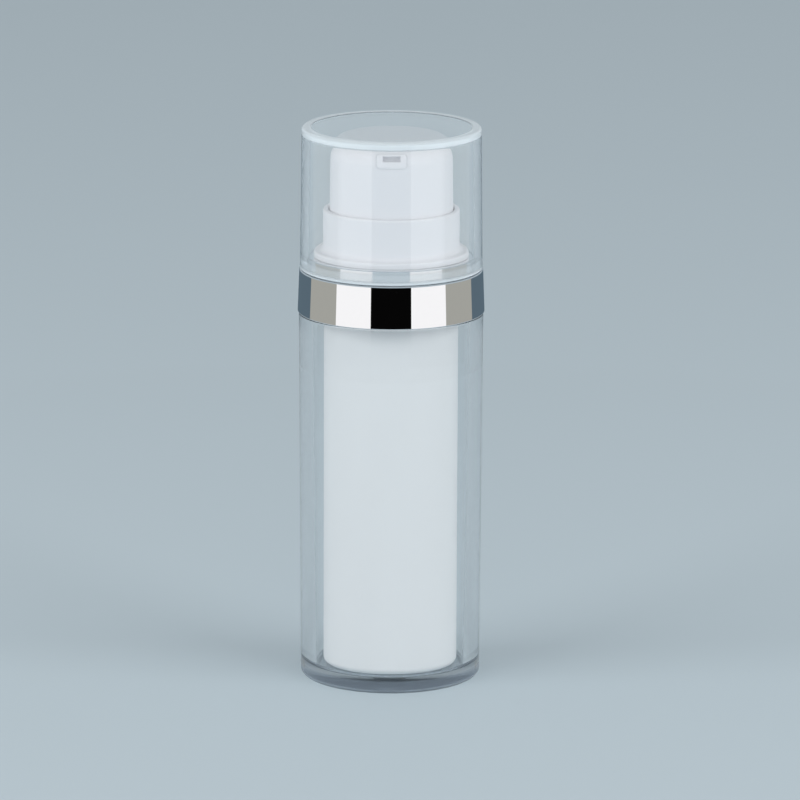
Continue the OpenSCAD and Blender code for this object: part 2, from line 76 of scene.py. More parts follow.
SEGMENTS = 192          # steps round a turned piece
ROUND_STEPS = 8         # steps round a corner
SHARP_ANGLE = radians(35)
MERGE = 0.0005 * MM
EDGE = 0.2 * MM         # small roundings that no size names
FINE_EDGE = 0.1 * MM

TURNS = 5.5             # turns of the spring, with the closed ones
END_TURNS = 0.75        # closed turns at each end
CLOSED_GAP = 0.45 * MM  # between the wires of the closed turns
WIRE_SIDES = 14
TURN_STEPS = 48

OUTLINE_STEPS = 5       # steps round a corner of the insert's face
LONG_CUTS = 11          # cuts of its long and its short sides
SHORT_CUTS = 5
FACE_CUTS = 4           # cuts between its outline and the slot's
EDGE_STEPS = 3          # steps round its edge
BEHIND = 1.0            # marks the insert's back until its real place is set

ROOF_FADE = 0.2 * MM                # painted glow in the cap's roof, up from its underside
EDGE_FADE = (2.6 * MM, 2 * MM)      # in the roof's edge, in from the cap's outside
SOCKET_FADE = (1.2 * MM, 0.9 * MM)  # in the cap's foot, down from the socket's step
RIM_FADE = (0.4 * MM, 0.6 * MM)     # painted highlight in the cap's rim, up from its lowest point
BASE_FADE = (0.3 * MM, 0.1 * MM)    # painted shade in the shell's base, down and up from the cavity's floor

FLOOR_HALF = 20
FLOOR_DROP = 0.03 * MM  # keeps the floor just clear of the base
SENSOR = 36             # millimetres, as the lens
SOFTBOX_SIZE = (1.0, 0.8)
SOFTBOX_TINT = (1.0, 0.99, 0.98)
SOFTBOX_PLACE = (1.08, -0.62, 0.46)
SOFTBOX_AIM = (0, 0, 0.06)
CARD_HEIGHT = 100 * MM
CARD_FADE = (7 * MM, 16 * MM)  # heights between which a card's foot fades
CARD_FOOT = 0.7         # brightness of a card's foot, as a share of the floor's
CARD_STEPS = 24

# A card's name, its first and last angle from the front, its glow, and whether it shows through
# clear pieces
SIDE_CARDS = (("white_card", 24.1, 69.4, (1.0, 1.0, 1.0), True),
              ("grey_card", 69.4, 115.8, (0.382, 0.384, 0.349), True),
              ("blue_card", 115.8, 180, (0.10, 0.145, 0.18), False))
DARK_CARD = ("dark_card", -24.1, 24.1, (0.002, 0.002, 0.002), False)


# Sizes and colours that a user would change

def length(label, note, default):
    """A size in metres."""
    return FloatProperty(name=label, description=note, default=default, min=0, unit="LENGTH",
                         precision=5)


def share(label, note, default):
    """A number from 0 to 1."""
    return FloatProperty(name=label, description=note, default=default, min=0, max=1)


def angle(label, note, default):
    """An angle in radians."""
    return FloatProperty(name=label, description=note, default=default, subtype="ANGLE")


def colour(label, note, default):
    """A linear colour."""
    return FloatVectorProperty(name=label, description=note, default=default, subtype="COLOR",
                               min=0, max=1)


class BottleSizes(bpy.types.PropertyGroup):
    draft: length("Draft", "How much wider the shell is at the shoulder, in radius", 0.45 * MM)
    wall: length("Wall", "Wall of the shell at its shoulder", 3 * MM)
    foot_gap: length("Foot gap", "Gap round the inner bottle at the cavity's floor", 1.6 * MM)
    neck_wall: length("Neck wall", "Wall of the shell's neck in the collar", 1.45 * MM)
    shoulder_round: length("Shoulder rounding", "Rounding of the shell under the collar", 0.35 * MM)
    cavity_round: length("Cavity rounding", "Rounding of the cavity's floor", 1 * MM)
    foot_round: length("Foot rounding", "Rounding of the foot's edge", 1.2 * MM)
    foot_recess: length("Foot recess", "Depth of the recess under the base", 0.4 * MM)
    recess_round: length("Recess rounding", "Rounding of the recess under the base", 0.3 * MM)
    foot_ring: length("Foot ring", "Width of the ring that the bottle stands on", 2.2 * MM)
    gate: length("Gate", "Diameter of the gate's dimple under the base", 4.6 * MM)
    gate_depth: length("Gate depth", "Depth of the gate's dimple", 0.5 * MM)
    gate_round: length("Gate rounding", "Rounding of the dimple's floor", 0.15 * MM)
    inner_width: length("Inner bottle", "Outer diameter of the white inner bottle", 28.8 * MM)
    inner_wall: length("Inner wall", "Wall of the inner bottle", 1.1 * MM)
    inner_floor: length("Inner floor", "Thickness of the inner bottle's floor", 1.5 * MM)
    inner_round: length("Inner rounding", "Rounding of the inner bottle's bottom edge", 1.6 * MM)
    inner_floor_round: length("Inner floor rounding", "Rounding of the floor inside", 0.8 * MM)
    inner_flange: length("Inner flange", "Thickness of the flange on the shell's mouth", 1.2 * MM)
    neck_step: length("Neck step", "Step from the inner bottle's body to its neck", 0.1 * MM)
    vent: length("Vent", "Diameter of the air hole in the inner floor", 3 * MM)


class PumpSizes(bpy.types.PropertyGroup):
    band: length("Band", "Height of the collar's wide band", 9.3 * MM)
    band_draft: length("Band draft", "How much narrower the band is at its top", 0.35 * MM)
    band_edge: length("Band edge", "Rounding of the band's edges", 0.25 * MM)
    collar_wall: length("Collar wall", "Wall of the metallised ring", 0.9 * MM)
    spigot_radius: length("Spigot", "Radius of the spigot inside the cap", 17.92 * MM)
    lip_radius: length("Lip", "Radius of the hole for the closure's skirt", 15.6 * MM)
    skirt_radius: length("Skirt", "Inner radius of the closure's skirt", 14.4 * MM)
    skirt_wall: length("Skirt wall", "Wall of the closure's skirt", 1.1 * MM)
    flange: length("Flange", "Thickness of the closure's flange on the collar", 1.35 * MM)
    ring_radius: length("Ring", "Outer radius of the closure's ring", 14.6 * MM)
    ring_wall: length("Ring wall", "Wall of the closure's ring", 1.15 * MM)
    ring_round: length("Ring rounding", "Rounding of the flange's and the ring's edges", 0.5 * MM)
    hollow: length("Hollow", "Rounding between the closure's flange and ring", 1.1 * MM)
    deck_drop: length("Deck drop", "From the ring's top down to the deck", 8 * MM)
    deck: length("Deck", "Thickness of the deck over the pump", 1.2 * MM)
    deck_round: length("Deck rounding", "Rounding between the deck and the ring", 0.3 * MM)
    deck_hole: length("Deck hole", "Radius of the deck's hole for the pump", 5.55 * MM)
    button_draft: length("Button draft", "How much narrower the button is at its top", 0.25 * MM)
    button_wall: length("Button wall", "Wall of the push button", 1.2 * MM)
    button_round: length("Button rounding", "Rounding of the button's top edge", 3.5 * MM)
    roof: length("Button roof", "Thickness of the button's roof", 1.6 * MM)
    insert_round: length("Insert rounding", "Rounding of the insert's corners", 0.67 * MM)
    insert_edge: length("Insert edge", "Rounding of the edge of the insert's face", 0.12 * MM)
    insert_stand: length("Insert stand", "How far the insert stands out of the button", 0.15 * MM)
    fit_gap: length("Fit gap", "Gap between the insert and its pocket", 0.03 * MM)
    slot_width: length("Slot width", "Width of the outlet slot", 3.7 * MM)
    slot_height: length("Slot height", "Height of the outlet slot", 1.1 * MM)
    slot_rise: length("Slot rise", "How far the slot lies above the insert's centre", 0.5 * MM)
    slot_depth: length("Slot depth", "Depth of the slot behind the button's widest line", 2.2 * MM)
    stem_socket: length("Stem socket", "Radius of the stem's socket in the button", 2.43 * MM)
    socket_foot: length("Socket foot", "From the button's foot up to the socket's mouth", 3 * MM)
    boss_wall: length("Boss wall", "Wall of the boss round the socket", 1.17 * MM)
    seat_foot: length("Seat foot", "From the button's foot up to the spring's seat", 7 * MM)
    seat_width: length("Seat width", "Width of the spring's seat round the socket", 3.07 * MM)
    duct: length("Duct", "Diameter of the duct to the nozzle", 1.6 * MM)
    duct_rise: length("Duct rise", "How far the duct goes on above the stem", 1.2 * MM)
    wire: length("Wire", "Diameter of the return spring's wire", 0.8 * MM)


class CapSizes(bpy.types.PropertyGroup):
    draft: length("Draft", "How much narrower the cap is at its top", 0.35 * MM)
    wall: length("Wall", "Wall of the cap", 1.75 * MM)
    rim_wall: length("Rim wall", "Wall of the cap round the spigot", 1.5 * MM)
    rim_depth: length("Rim depth", "Depth of the socket for the spigot", 3.3 * MM)
    roof: length("Roof", "Thickness of the cap's roof", 1.55 * MM)
    top_round: length("Top rounding", "Rounding of the cap's top edge", 0.6 * MM)
    roof_round: length("Roof rounding", "Rounding between the roof and the wall inside", 0.5 * MM)
    rim_round: length("Rim rounding", "Rounding of the cap's rim", 0.4 * MM)


class Finishes(bpy.types.PropertyGroup):
    shell: colour("Shell", "Tint of the clear shell", (0.97, 0.98, 0.985))
    # painted shade: the dark grey mixed into the thick base stands in for shade seen through it
    base: colour("Base", "The haze in the shell's thick base", (0.20, 0.245, 0.30))
    cap: colour("Cap", "Tint of the clear overcap", (0.975, 0.985, 0.99))
    # also gives the painted glow at the cap's thick edges and the painted highlight at its rim
    haze_and_painted_light: colour("Milk", "The overcap's haze and milky edges", (0.84, 0.92, 0.97))
    white: colour("White", "The pump's white plastic", (0.80, 0.79, 0.82))
    inner: colour("Inner white", "The inner bottle's white plastic", (0.82, 0.83, 0.84))
    silver: colour("Silver", "The metallised collar", (0.92, 0.915, 0.93))
    natural: colour("Natural", "Natural plastic of the pump's hidden pieces", (0.66, 0.71, 0.73))
    steel: colour("Steel", "The wire and the ball", (0.58, 0.58, 0.58))
    rubber: colour("Rubber", "The neck gasket", (0.22, 0.23, 0.25))
    cap_haze: share("Cap haze", "Milkiness of the whole overcap", 0.1)
    # painted glow in the roof's edge and round the spigot, and a painted highlight at the rim
    roof_glow: share("Roof milk", "More of it in the thick edge of the roof", 0.58)
    socket_glow: share("Socket milk", "More of it round the spigot", 0.13)
    rim_highlight: share("Rim milk", "More of it at the very rim", 0.35)
    shell_haze: share("Shell haze", "Cloudiness of the whole shell", 0.01)
    # painted shade in the thick base
    base_shade: share("Base haze", "More of it in the thick base", 0.44)


class Studio(bpy.types.PropertyGroup):
    distance: length("Distance", "From the bottle's axis to the camera, level", 1406.4 * MM)
    height: length("Height", "Height of the camera", 390.3 * MM)
    side: length("Side step", "How far right of the axis the camera stands", 1.98 * MM)
    pitch: angle("Pitch", "How far the camera looks down", 0.2305)
    roll: angle("Roll", "How far the camera leans", 0.0038)
    lens: FloatProperty(name="Lens", description="Focal length in millimetres", default=302.76,
                        min=50)
    floor: colour("Floor", "Plain pale floor", (0.53, 0.62, 0.675))
    far: colour("Far", "What shows past the floor", (0.40, 0.475, 0.52))
    cards: length("Cards", "From the axis to the studio cards", 300 * MM)
    softbox: FloatProperty(name="Softbox", description="Power of each softbox", default=9.5, min=0,
                           unit="POWER")
    light: colour("Light", "Colour of the even light from all round", (0.97, 0.99, 1.0))
    fill: FloatProperty(name="Fill", description="Strength of the even light", default=0.55, min=0)


# Mesh helpers

def rounded(bm, corners, rounding, steps):
    """Rounds corners of a flat outline."""
    bmesh.ops.bevel(bm, geom=corners, offset=rounding, offset_type="OFFSET", segments=steps,
                    profile=0.5, affect="VERTICES", clamp_overlap=False, material=-1)


def rectangle(bm, width, height, middle, y=0):
    """Adds a flat face across Y and gives its four corners."""
    corners = [bm.verts.new((x * width / 2, y, middle + z * height / 2))
               for x, z in ((-1, -1), (1, -1), (1, 1), (-1, 1))]
    bm.faces.new(corners)
    return corners


def only(kind, geometry):
    """The vertices or the edges of a mixed list."""
    return [item for item in geometry if isinstance(item, kind)]


def turned(corners):
    """A closed bmesh turned about Z from corners of radius, height and, for some, a rounding."""
    bm = bmesh.new()
    points = [bm.verts.new((corner[0], 0, corner[1])) for corner in corners]
    bm.faces.new(points)
    for point, corner in zip(points, corners):
        if len(corner) > 2:
            rounded(bm, [point], corner[2], ROUND_STEPS)
    bmesh.ops.delete(bm, geom=bm.faces[:], context="FACES_ONLY")
    on_axis = [e for e in bm.edges if all(v.co.x < MERGE for v in e.verts)]
    bmesh.ops.delete(bm, geom=on_axis, context="EDGES")
    bmesh.ops.spin(bm, geom=bm.verts[:] + bm.edges[:], cent=(0, 0, 0), axis=(0, 0, 1),
                   dvec=(0, 0, 0), angle=2 * pi, steps=SEGMENTS, use_merge=True,
                   use_normal_flip=False, use_duplicate=False)
    bmesh.ops.remove_doubles(bm, verts=bm.verts, dist=MERGE)
    bmesh.ops.recalc_face_normals(bm, faces=bm.faces)
    return bm


def made(name, bm):
    """A new object in the scene that takes over the bmesh."""
    mesh = bpy.data.meshes.new(name)
    bm.to_mesh(mesh)
    bm.free()
    obj = bpy.data.objects.new(name, mesh)
    bpy.context.scene.collection.objects.link(obj)
    return obj


def shaded(obj, slot):
    """Smooth shading with sharp corners kept, and the finish of one of the record's slots."""
    obj.data.materials.append(finish_of(slot))
    for face in obj.data.polygons:
        face.use_smooth = True
    obj.data.set_sharp_from_angle(angle=SHARP_ANGLE)
    weighting = obj.modifiers.new("even shading", "WEIGHTED_NORMAL")
    weighting.keep_sharp = True


def cut(obj, tool_bm):
    """The object less the bmesh's solid."""
    tool = made("cutter", tool_bm)
    change = obj.modifiers.new("cut", "BOOLEAN")
    change.object = tool
    change.solver = "EXACT"
    graph = bpy.context.evaluated_depsgraph_get()
    result = bpy.data.meshes.new_from_object(obj.evaluated_get(graph))
    obj.modifiers.clear()
    obj.data = result
    bpy.data.objects.remove(tool)


def at_height(low, high, z):
    """Radius at height z on the straight wall between two (radius, height) points."""
    return low[0] + (high[0] - low[0]) * (z - low[1]) / (high[1] - low[1])


# Shader helpers

class Signal:
    """A shader socket whose sums and products add Math nodes."""

    def __init__(self, finish, socket):
        self.finish = finish
        self.socket = socket

    def maths(self, operation, a, b):
        return self.finish.maths(operation, a, b)

    def __add__(self, other):
        return self.maths("ADD", self, other)

    def __mul__(self, other):
        return self.maths("MULTIPLY", self, other)

    def __sub__(self, other):
        return self.maths("SUBTRACT", self, other)

    def __rsub__(self, other):
        return self.maths("SUBTRACT", other, self)

    __radd__ = __add__
    __rmul__ = __mul__


class Finish:
    """The nodes of one material, or of the world."""

    def __init__(self, name, owner=None):
        self.material = owner or bpy.data.materials.new(name)
        self.material.use_nodes = True
        self.tree = self.material.node_tree
        self.tree.nodes.clear()

    def add(self, kind, sockets=None, output=0, **settings):
        """Any node: its settings, then the values or links of its sockets."""
        node = self.tree.nodes.new("ShaderNode" + kind)
        for key, value in settings.items():
            setattr(node, key, value)
        for key, value in (sockets or {}).items():
            if isinstance(value, Signal):
                self.tree.links.new(value.socket, node.inputs[key])
            else:
                node.inputs[key].default_value = value
        return Signal(self, node.outputs[output]) if len(node.outputs) else None

    def maths(self, operation, a, b):
        """A Math node on two numbers."""
        return self.add("Math", {0: a, 1: b}, operation=operation)

    def place(self):
        """Object coordinates."""
        return self.add("TexCoord", output="Object")

    def height(self):
        """Height over the plane that the bottle stands on."""
        return self.add("SeparateXYZ", {0: self.place()}, output="Z")

    def radius(self):
        """Distance from the bottle's axis."""
        level = self.add("VectorMath", {0: self.place(), 1: (1, 1, 0)}, operation="MULTIPLY")
        return self.add("VectorMath", {0: level}, output="Value", operation="LENGTH")

    def noise(self, scale, detail=2.0, stretch=(1, 1, 1)):
        """Noise from 0 to 1 on object coordinates, stretched along the axes."""
        spot = self.add("Mapping", {"Vector": self.place(), "Scale": stretch})
        return self.add("TexNoise", {"Vector": spot, "Scale": scale, "Detail": detail})

    def rise(self, signal, low, high):
        """From 0 to 1 as the signal goes from low to high."""
        return self.add("MapRange", {"Value": signal, "From Min": low, "From Max": high},
                        interpolation_type="SMOOTHSTEP")

    def mix(self, factor, a, b):
        """A colour between a and b."""
        return self.add("Mix", {0: factor, 6: a, 7: b}, output=2, data_type="RGBA")

    def bump(self, height, depth):
        """A normal from a height signal and its depth in metres."""
        return self.add("Bump", {"Height": height, "Distance": depth, "Strength": 1.0})

    def principled(self, **sockets):
        """The Principled shader; an underscore in a name stands for a space."""
        return self.add("BsdfPrincipled", {k.replace("_", " "): v for k, v in sockets.items()})

    def surface(self, **sockets):
        """The material with the Principled shader on its output."""
        return self.shown(self.principled(**sockets))

    def shown(self, shader):
        """The material with the shader on its output."""
        self.add("OutputMaterial", {"Surface": shader})
        return self.material


def shade(colour_value, factor):
    """A colour with alpha, scaled."""
    return tuple(min(1.0, c * factor) for c in colour_value) + (1.0,)


def moulded(name, base, roughness, grain=0.0016 * MM, wave=0.004 * MM):
    """Glossy moulded plastic: faint flow marks, fine orange peel, slight changes of shade."""
    finish = Finish(name)
    flow = finish.noise(scale=70, detail=3, stretch=(1, 1, 0.35))
    peel = finish.noise(scale=2600)
    sink = finish.noise(scale=160, detail=1)
    return finish.surface(
        Base_Color=finish.mix(flow, shade(base, 0.975), shade(base, 1.015)),
        Roughness=roughness + (flow - 0.5) * 0.06,
        IOR=1.49,
        Normal=finish.bump(peel * (grain / wave) + sink, wave))


def clear(name, tint, ior, haze_and_painted_light, haze_and_light_amount):
    """Clear hard plastic, mixed with a lit cloudy shader as the amount says: haze, and painted
    light.

    Light on its way to what the plastic covers passes straight through."""
    finish = Finish(name)
    body = finish.principled(
        Base_Color=finish.mix(finish.noise(scale=40), shade(tint, 0.995), shade(tint, 1.0)),
        Roughness=0.0,
        Transmission_Weight=1.0,
        IOR=ior,
        Normal=finish.bump(finish.noise(scale=90, detail=1, stretch=(1, 1, 0.25)), 0.0003 * MM))
    # lit cloudy shader: real haze, and painted light where the amount rises
    haze_and_light_shader = finish.principled(
        Base_Color=finish.mix(finish.noise(scale=60), shade(haze_and_painted_light, 0.97), shade(haze_and_painted_light, 1.0)),
        Roughness=0.3)
    seen = finish.add("MixShader", {0: haze_and_light_amount(finish), 1: body, 2: haze_and_light_shader})
    passing = finish.maths("MAXIMUM", finish.add("LightPath", output="Is Shadow Ray"),
                           finish.add("LightPath", output="Is Diffuse Ray"))
    straight = finish.add("BsdfTransparent", {"Color": shade(tint, 0.975)})
    return finish.shown(finish.add("MixShader", {0: passing, 1: seen, 2: straight}))


def cap_haze_and_glow(finish):
    """Even haze; painted glow in the roof's edge and round the spigot; a painted highlight at the
    rim.
    """
    size, amount = bpy.context.scene.cap_sizes, bpy.context.scene.bottle_finishes
    roof, wall = CAP_HIGH.z - size.roof, CAP_HIGH.x
    step = CAP_LOW.z + size.rim_depth
    height, radius = finish.height(), finish.radius()
    # painted glow in the roof's thick edge and round the spigot; painted highlight at the very rim
    in_roof = finish.rise(height, roof, roof + ROOF_FADE)
    edge = in_roof * finish.rise(radius, wall - EDGE_FADE[0], wall - EDGE_FADE[1])
    socket = 1 - finish.rise(height, step - SOCKET_FADE[0], step - SOCKET_FADE[1])
    rim = 1 - finish.rise(height, CAP_LOW.z + RIM_FADE[0], CAP_LOW.z + RIM_FADE[1])
    return (amount.cap_haze + edge * amount.roof_glow + socket * amount.socket_glow
            + rim * amount.rim_highlight)


def shell_haze_and_shade(finish):
    """Clear all over, with painted shade in the thick base: a dark grey cloudy mix."""
    amount = bpy.context.scene.bottle_finishes
    below, above = BASE_FADE
    # painted shade: a dark grey mix in the thick base
    base = 1 - finish.rise(finish.height(), INNER_LOW.z - below, INNER_LOW.z + above)
    return amount.shell_haze + base * amount.base_shade


def mirror(name, base):
    """Bright vacuum-metallised plastic with a faint haze and the lacquer's waviness."""
    finish = Finish(name)
    haze = finish.noise(scale=900, detail=4)
    return finish.surface(
        Base_Color=finish.mix(haze, shade(base, 0.985), shade(base, 1.0)),
        Metallic=1.0,
        Roughness=0.012 + haze * 0.012,
        Normal=finish.bump(finish.noise(scale=220, detail=1), 0.0005 * MM))


def drawn_steel(name, base):
    """Drawn stainless wire: fine lines and a soft sheen."""
    finish = Finish(name)
    lines = finish.noise(scale=3000, detail=3, stretch=(1, 1, 6))
    return finish.surface(
        Base_Color=finish.mix(lines, shade(base, 0.9), shade(base, 1.05)),
        Metallic=1.0,
        Roughness=0.24 + lines * 0.12,
        Normal=finish.bump(lines, 0.002 * MM))


def soft_rubber(name, base):
    """Matt elastomer with a fine tooth."""
    finish = Finish(name)
    tooth = finish.noise(scale=3500, detail=3)
    return finish.surface(
        Base_Color=finish.mix(tooth, shade(base, 0.9), shade(base, 1.1)),
        Roughness=0.7 + tooth * 0.15,
        Normal=finish.bump(tooth, 0.003 * MM))


def finish_of(slot):
    """The shared material of one of the record's slots, made once."""
    name = slot + "_finish"
    made_before = bpy.data.materials.get(name)
    if made_before:
        return made_before
    colours = bpy.context.scene.bottle_finishes
    return {
        # the shell paints shade in its base; the cap paints glow at its thick edges and rim
        "clear_shell": lambda: clear(name, colours.shell, 1.53, colours.base, shell_haze_and_shade),
        "clear_cap": lambda: clear(name, colours.cap, 1.5, colours.haze_and_painted_light, cap_haze_and_glow),
        "white_plastic": lambda: moulded(name, colours.white, roughness=0.3),
        "white_inner": lambda: moulded(name, colours.inner, roughness=0.34),
        "natural_plastic": lambda: moulded(name, colours.natural, roughness=0.42,
                                           grain=0.002 * MM),
        "mirror_silver": lambda: mirror(name, colours.silver),
        "spring_steel": lambda: drawn_steel(name, colours.steel),
        "gasket_rubber": lambda: soft_rubber(name, colours.rubber),
    }[slot]()


# Operators

class BOTTLE_OT_stage(bpy.types.Operator):
    """Set up the camera, the pale floor, the softboxes and the studio cards"""
    bl_idname = "bottle.stage"
    bl_label = "Stage"

    def execute(self, context):
        studio = context.scene.bottle_studio
        self.camera(context, studio)
        self.floor(context, studio)
        self.world(context, studio)
        for side in (-1, 1):
            self.softbox(context, studio, side)
            for card in SIDE_CARDS:
                self.card(studio, side, *card)
        self.card(studio, 1, *DARK_CARD)
        context.scene.view_settings.view_transform = "Standard"
        return {"FINISHED"}

    def camera(self, context, studio):
        """A long lens in front of the bottle and above it."""
        data = bpy.data.cameras.new("camera")
        data.lens = studio.lens
        data.sensor_width = SENSOR
        data.clip_start = 10 * MM
        data.clip_end = 50
        obj = bpy.data.objects.new("camera", data)
        tilt = Euler((pi / 2 - studio.pitch, 0, 0)).to_matrix()
        turn = tilt @ Matrix.Rotation(studio.roll, 3, "Z")
        place = Matrix.Translation((studio.side, -studio.distance, studio.height))
        obj.matrix_world = place @ turn.to_4x4()
        context.scene.collection.objects.link(obj)
        context.scene.camera = obj

    def floor(self, context, studio):
        """A wide level floor."""
        bm = bmesh.new()
        bmesh.ops.create_grid(bm, x_segments=1, y_segments=1, size=FLOOR_HALF)
        bmesh.ops.translate(bm, verts=bm.verts, vec=(0, 0, -FLOOR_DROP))
        obj = made("floor", bm)
        finish = Finish("pale_floor")
        grain = finish.noise(scale=9)
        obj.data.materials.append(finish.surface(
            Base_Color=finish.mix(grain, shade(studio.floor, 0.995), shade(studio.floor, 1.005)),
            Roughness=0.75,
            Specular_IOR_Level=0.2))

    def world(self, context, studio):
        """Even light, with a plain pale background to the camera, mirrors and clear pieces."""
        world = bpy.data.worlds.new("studio")
        world.use_nodes = True
        finish = Finish("studio", world)
        bent = finish.maths("MAXIMUM", finish.add("LightPath", output="Is Glossy Ray"),
                            finish.add("LightPath", output="Is Transmission Ray"))
        seen = finish.maths("MAXIMUM", finish.add("LightPath", output="Is Camera Ray"), bent)
        light = finish.add("Background",
                           {"Color": shade(studio.light, 1.0), "Strength": studio.fill})
        pale = finish.add("Background", {"Color": shade(studio.far, 1.0)})
        both = finish.add("MixShader", {0: seen, 1: light, 2: pale})
        finish.add("OutputWorld", {"Surface": both})
        context.scene.world = world

    def softbox(self, context, studio, side):
        """A softbox on one side, which lights the pieces but doesn't glare on them."""
        lamp = bpy.data.lights.new("softbox", "AREA")
        lamp.shape = "RECTANGLE"
        lamp.size, lamp.size_y = SOFTBOX_SIZE
        lamp.energy = studio.softbox
        lamp.color = SOFTBOX_TINT
        obj = bpy.data.objects.new("softbox", lamp)
        x, y, z = SOFTBOX_PLACE
        spot = Vector((side * x, y, z))
        turn = (Vector(SOFTBOX_AIM) - spot).to_track_quat("-Z", "Y")
        obj.matrix_world = Matrix.Translation(spot) @ turn.to_matrix().to_4x4()
        obj.visible_glossy = obj.visible_transmission = False
        context.scene.collection.objects.link(obj)

    def card(self, studio, side, name, start, end, glow, through):
        """A curved card between two angles from the front, which only bright and clear pieces show.

        Its foot fades into the floor, so that no edge shows in the clear shell."""
        bm = bmesh.new()
        low = bm.verts.new((0, -studio.cards, 0))
        high = bm.verts.new((0, -studio.cards, CARD_HEIGHT))
        edge = bm.edges.new((low, high))
        turn = Matrix.Rotation(side * radians(start), 3, "Z")
        bmesh.ops.rotate(bm, verts=bm.verts, cent=(0, 0, 0), matrix=turn)
        bmesh.ops.spin(bm, geom=[low, high, edge], cent=(0, 0, 0), axis=(0, 0, 1), dvec=(0, 0, 0),
                       angle=side * radians(end - start), steps=CARD_STEPS)
        obj = made(name, bm)
        finish = Finish(name)
        fade = finish.rise(finish.height(), *CARD_FADE)
        shown = finish.mix(fade, shade(studio.floor, CARD_FOOT), shade(glow, 1.0))
        glowing = finish.add("Emission", {"Color": shown, "Strength": 1.0})
        finish.add("OutputMaterial", {"Surface": glowing})
        obj.data.materials.append(finish.material)
        obj.visible_camera = obj.visible_diffuse = obj.visible_shadow = False
        obj.visible_transmission = through


class BOTTLE_OT_bottles(bpy.types.Operator):
    """Model the clear outer bottle and the white inner bottle"""
    bl_idname = "bottle.bottles"
    bl_label = "Bottles"

    def execute(self, context):
        size = context.scene.bottle_sizes
        neck = size.neck_wall
        foot = SHELL_HIGH.x - size.draft
        recess = foot - size.foot_round - size.foot_ring
        inner = size.inner_width / 2
        cavity = SHELL_HIGH.x - size.wall
        base = INNER_LOW.z
        gate, gate_top = size.gate / 2, size.foot_recess + size.gate_depth
        shell = made("shell", turned([
            (0, gate_top), (gate, gate_top, size.gate_round), (gate, size.foot_recess, FINE_EDGE),
            (recess - size.foot_recess, size.foot_recess, size.recess_round), (recess, 0, EDGE),
            (foot, 0, size.foot_round), (SHELL_HIGH.x, COLLAR_LOW.z, size.shoulder_round),
            (cavity + neck, COLLAR_LOW.z), (cavity + neck, SHELL_HIGH.z, EDGE),
            (cavity, SHELL_HIGH.z, EDGE), (cavity, COLLAR_LOW.z),
            (inner + size.foot_gap, base, size.cavity_round), (0, base)]))
        shaded(shell, "clear_shell")
        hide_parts("outer_bottle")
        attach(shell, "bottle")

        bore = inner - size.inner_wall
        neck_radius = inner - size.neck_step
        flange = SHELL_HIGH.z + size.inner_flange
        vent = size.vent / 2
        liner = made("inner", turned([
            (vent, base), (inner, base, size.inner_round), (inner, SHELL_HIGH.z),
            (INNER_HIGH.x, SHELL_HIGH.z), (INNER_HIGH.x, flange), (neck_radius, flange),
            (neck_radius, INNER_HIGH.z, EDGE), (bore, INNER_HIGH.z, EDGE),
            (bore, base + size.inner_floor, size.inner_floor_round),
            (vent, base + size.inner_floor)]))
        shaded(liner, "white_inner")
        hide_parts("inner_bottle")
        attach(liner, "bottle")
        return {"FINISHED"}


class BOTTLE_OT_collar(bpy.types.Operator):
    """Model the metallised collar and the white closure"""
    bl_idname = "bottle.collar"
    bl_label = "Collar and closure"

    def execute(self, context):
        size = context.scene.pump_sizes
        ledge = COLLAR_LOW.z + size.band
        top = COLLAR_HIGH.x - size.band_draft
        spigot = size.spigot_radius
        wall = size.collar_wall
        edge = size.band_edge
        ring = made("collar", turned([
            (COLLAR_HIGH.x - wall, COLLAR_LOW.z), (COLLAR_HIGH.x, COLLAR_LOW.z, edge),
            (top, ledge, edge), (spigot, ledge), (spigot, COLLAR_HIGH.z, edge),
            (size.lip_radius, COLLAR_HIGH.z),
            (size.lip_radius, COLLAR_HIGH.z - wall), (spigot - wall, COLLAR_HIGH.z - wall),
            (spigot - wall, ledge - wall), (COLLAR_HIGH.x - wall, ledge - wall)]))
        shaded(ring, "mirror_silver")
        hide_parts("collar_ring")
        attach(ring, "bottle")

        skirt = size.skirt_radius
        skirt_out = skirt + size.skirt_wall
        flange_top = COLLAR_HIGH.z + size.flange
        bore = size.ring_radius - size.ring_wall
        deck = CLOSURE_HIGH.z - size.deck_drop
        closure = made("closure_ring", turned([
            (skirt, CLOSURE_LOW.z), (skirt_out, CLOSURE_LOW.z), (skirt_out, COLLAR_HIGH.z),
            (CLOSURE_HIGH.x, COLLAR_HIGH.z, EDGE), (CLOSURE_HIGH.x, flange_top, size.ring_round),
            (size.ring_radius, flange_top, size.hollow),
            (size.ring_radius, CLOSURE_HIGH.z, size.ring_round), (bore, CLOSURE_HIGH.z, EDGE),
            (bore, deck, size.deck_round), (size.deck_hole, deck, FINE_EDGE),
            (size.deck_hole, deck - size.deck), (skirt, deck - size.deck)]))
        shaded(closure, "white_plastic")
        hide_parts("closure")
        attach(closure, "bottle")
        return {"FINISHED"}


